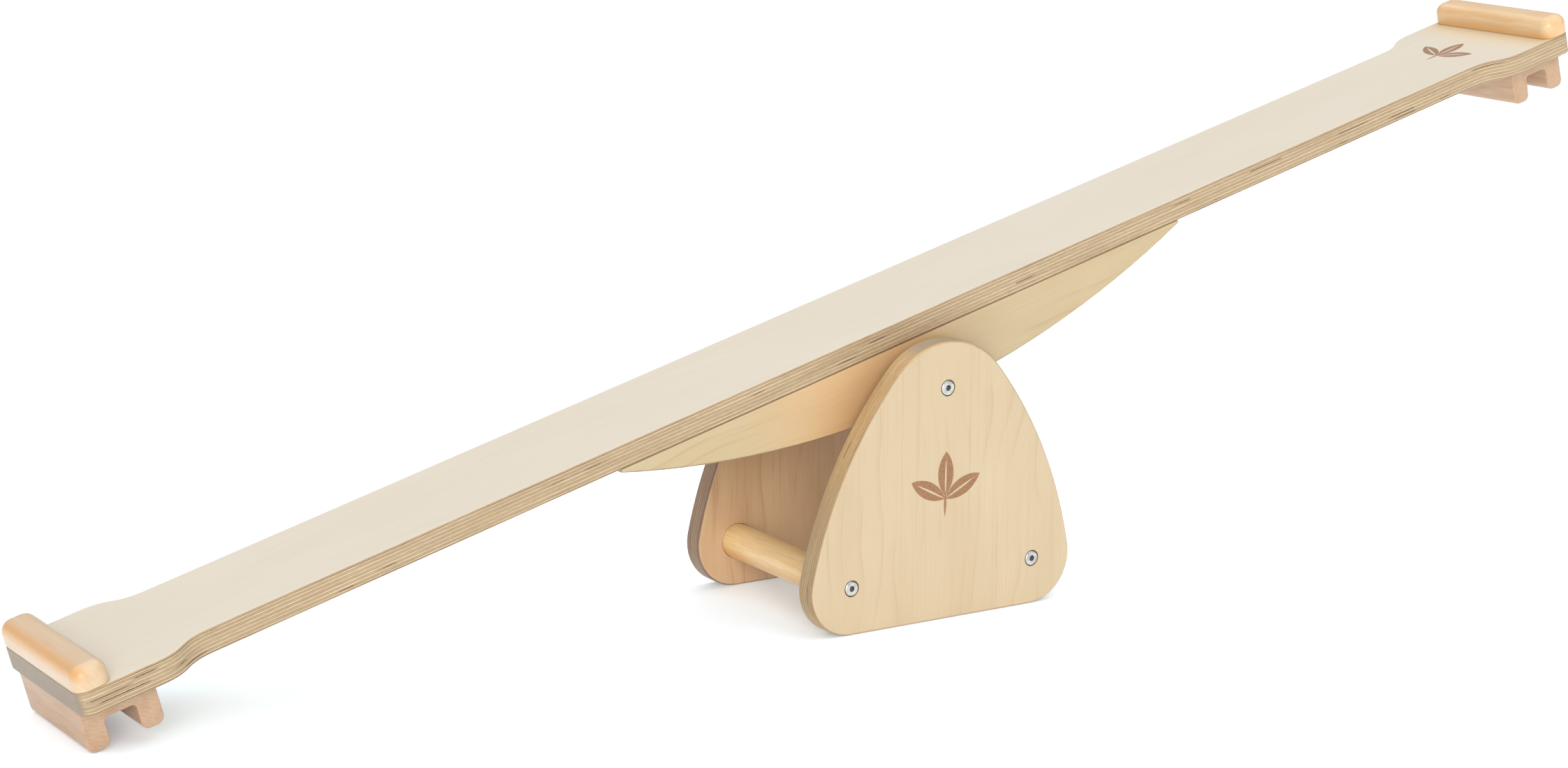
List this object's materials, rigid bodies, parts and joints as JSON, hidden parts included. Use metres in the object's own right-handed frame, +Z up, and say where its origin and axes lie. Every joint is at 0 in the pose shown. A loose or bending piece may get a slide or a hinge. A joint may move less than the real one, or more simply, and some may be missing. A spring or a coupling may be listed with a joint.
{
  "type": "seesaw",
  "caption": "Low wooden seesaw: a long plywood board on crescent ribs tilts on an axle between two rounded side panels, with stop bars on top and rung hooks underneath at the ends.",
  "frame": {"origin": "on the floor, straight under the pivot axis, midway between the two side panels", "axes": "+X along the board towards its raised end, +Y across the board towards the far side panel, +Z up"},
  "size_m": [1.3837, 0.1798, 0.4356],
  "materials": {
    "birch_plywood": "satin clear lacquer over birch plywood, plies showing on every edge",
    "beech_lacquered": "glossy clear lacquer over warm straight-grained beech",
    "beech_pale": "oiled pale pink beech with end grain on the end faces",
    "beech_pin": "plain unfinished beech",
    "nickel_plate": "bright nickel plate",
    "axle_steel": "ground bright steel",
    "zinc_screw": "zinc plate",
    "nylon": "matt off-white nylon"
  },
  "bodies": {
    "stand": {"side_panel_near": "birch_plywood", "side_panel_far": "birch_plywood", "lower_dowel_low_side": "beech_lacquered", "lower_dowel_high_side": "beech_lacquered", "dowel_inserts": "zinc_screw", "foot_bolts_near": "nickel_plate", "foot_bolts_far": "nickel_plate", "pivot_axle": "axle_steel", "pivot_bolt_near": "nickel_plate", "pivot_bolt_far": "nickel_plate", "pivot_spacer_near": "nylon", "pivot_spacer_far": "nylon"},
    "rocker": {"plank": "birch_plywood", "rib_near": "birch_plywood", "rib_far": "birch_plywood", "rib_bush_near": "nylon", "rib_bush_far": "nylon", "rib_pins_near": "beech_pin", "rib_pins_far": "beech_pin", "hook_block_high": "beech_pale", "hook_block_low": "beech_pale", "block_pins_high": "beech_pin", "block_pins_low": "beech_pin", "stop_bar_high": "beech_lacquered", "stop_bar_low": "beech_lacquered", "bar_screws_high": "zinc_screw", "bar_screws_low": "zinc_screw"}
  },
  "joints": [
    {"name": "tilt", "type": "hinge", "parent": "stand", "child": "rocker", "pos_m": [0, 0, 0.184], "axis": [0, 1, 0], "range_deg": [0, 30.46]}
  ]
}
